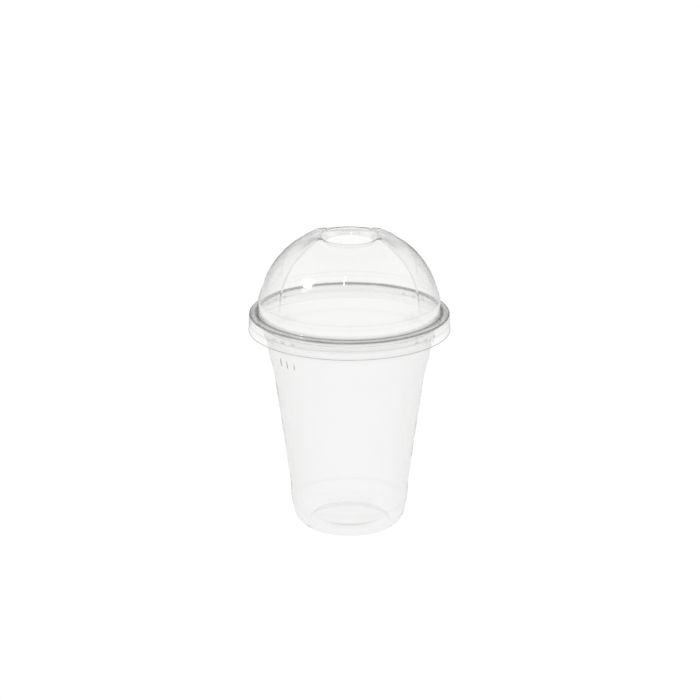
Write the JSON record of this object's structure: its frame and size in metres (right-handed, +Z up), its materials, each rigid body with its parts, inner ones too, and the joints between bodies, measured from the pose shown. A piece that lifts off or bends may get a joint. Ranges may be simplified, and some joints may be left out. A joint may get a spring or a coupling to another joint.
{
  "type": "plastic cup with dome lid",
  "caption": "Clear thin-walled disposable cold drink cup, tapered, with a rolled rim and a lift-off dome lid that has a round straw hole.",
  "frame": {"origin": "middle of the ring that the cup stands on, in the plane of the surface below", "axes": "+Z up along the common axis of cup and lid; -Y faces the viewer of the reference view, +X is to the right"},
  "size_m": [0.1, 0.1, 0.1493],
  "materials": {
    "cup_plastic": "clear, glossy thermoformed PET sheet, 0.4 mm",
    "lid_plastic": "clear, glossy thermoformed PET sheet, 0.35 mm"
  },
  "bodies": {
    "cup": {"cup": "cup_plastic"},
    "lid": {"dome_lid": "lid_plastic"}
  },
  "joints": [
    {"name": "lid_lift", "type": "slide", "parent": "cup", "child": "lid", "axis": [0, 0, 1], "range_m": [0, 0.06]}
  ]
}
